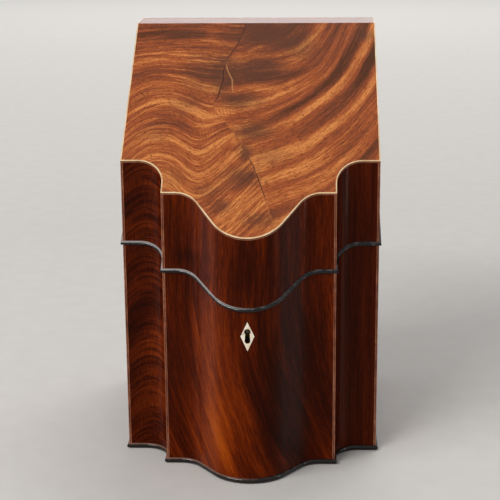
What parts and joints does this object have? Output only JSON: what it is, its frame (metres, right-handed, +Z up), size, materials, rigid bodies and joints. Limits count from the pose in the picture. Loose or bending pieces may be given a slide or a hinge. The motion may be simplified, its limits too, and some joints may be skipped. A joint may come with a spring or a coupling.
{
  "type": "antique knife box",
  "caption": "Upright wooden knife box with a serpentine front, hollow corners and a sloping hinged lid over a slotted board for knives, forks and spoons.",
  "frame": {"origin": "on the table, below the middle of the whole box, beads included", "axes": "+Z up, -Y towards the serpentine front, +X to the right of someone facing the front"},
  "size_m": [0.234, 0.2816, 0.3775],
  "materials": {
    "mahogany": "french polished",
    "mahogany_front": "french polished",
    "flame_mahogany": "french polished",
    "board_veneer": "satin",
    "pine": "unfinished",
    "boxwood": "polished",
    "black_wood": "ebonised and polished",
    "bone": "polished bone",
    "brass": "aged",
    "steel": "aged"
  },
  "bodies": {
    "case": {"base_board": "pine", "case_back": "mahogany", "case_side_left": "mahogany", "case_side_right": "mahogany", "case_corner_left": "mahogany_front", "case_corner_right": "mahogany_front", "case_front": "mahogany_front", "case_strings": "boxwood", "base_bead": "black_wood", "escutcheon": "bone", "board_forks_front": "board_veneer", "board_forks_rear": "board_veneer", "board_knives_front": "board_veneer", "board_knives_rear": "board_veneer", "board_spoons": "board_veneer", "board_fillets": "pine", "lock_plate": "brass", "lock_case": "steel", "lock_top_plate": "brass", "lock_pin": "steel", "lock_spring": "steel", "lock_screws": "brass", "hinge_leaf_case_left": "brass", "hinge_leaf_case_right": "brass", "hinge_pins": "steel", "hinge_screws_case": "brass"},
    "lid": {"lid_front": "mahogany_front", "lid_corner_left": "mahogany_front", "lid_corner_right": "mahogany_front", "lid_side_left": "mahogany", "lid_side_right": "mahogany", "lid_back": "mahogany", "lid_top": "flame_mahogany", "lid_level": "flame_mahogany", "lid_top_strings": "boxwood", "lid_corner_strings": "boxwood", "lid_bead": "black_wood", "link_plate": "brass", "link_screws": "brass", "hinge_leaf_lid_left": "brass", "hinge_leaf_lid_right": "brass", "hinge_screws_lid": "brass"},
    "bolt": {"lock_bolt": "steel"}
  },
  "joints": [
    {"name": "lid_hinge", "type": "hinge", "parent": "case", "child": "lid", "pos_m": [0, 0.13785, 0.29908], "axis": [-1, 0, 0], "range_deg": [0, 115]},
    {"name": "lock_bolt_slide", "type": "slide", "parent": "case", "child": "bolt", "axis": [1, 0, 0], "range_m": [0, 0.004]}
  ]
}
